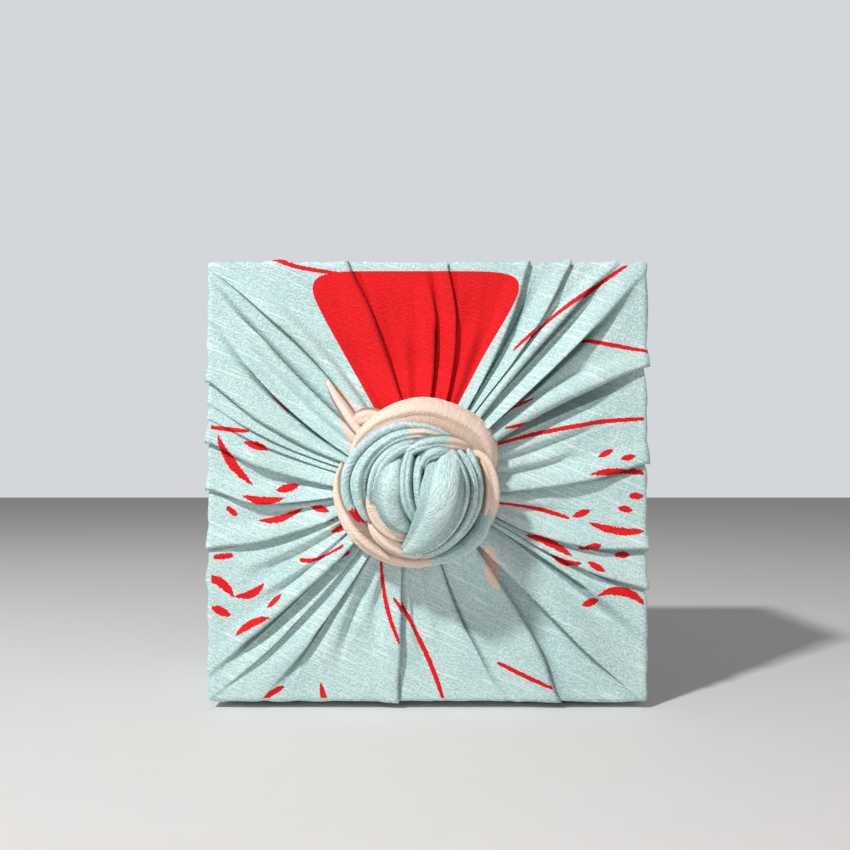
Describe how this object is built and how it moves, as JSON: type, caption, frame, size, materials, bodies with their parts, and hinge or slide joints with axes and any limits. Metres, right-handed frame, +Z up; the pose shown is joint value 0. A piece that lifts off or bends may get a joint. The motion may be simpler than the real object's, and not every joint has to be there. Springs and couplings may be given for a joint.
{
  "type": "furoshiki wrap on a gift box",
  "caption": "Square printed cotton cloth wrapped round a flat square gift box, gathered in folds across the front to a wound rose knot.",
  "frame": {"origin": "middle of the flat patch of bunched cloth under the wrap, on the surface that it stands on", "axes": "+Z up, the knot faces -Y, +X to the right as seen from the knot's side"},
  "size_m": [0.2065, 0.1684, 0.2066],
  "materials": {
    "cloth": "matt slub cotton, printed",
    "board": "plain matt board"
  },
  "bodies": {
    "root": {"furoshiki_cloth": "cloth", "gift_box": "board"}
  },
  "joints": []
}
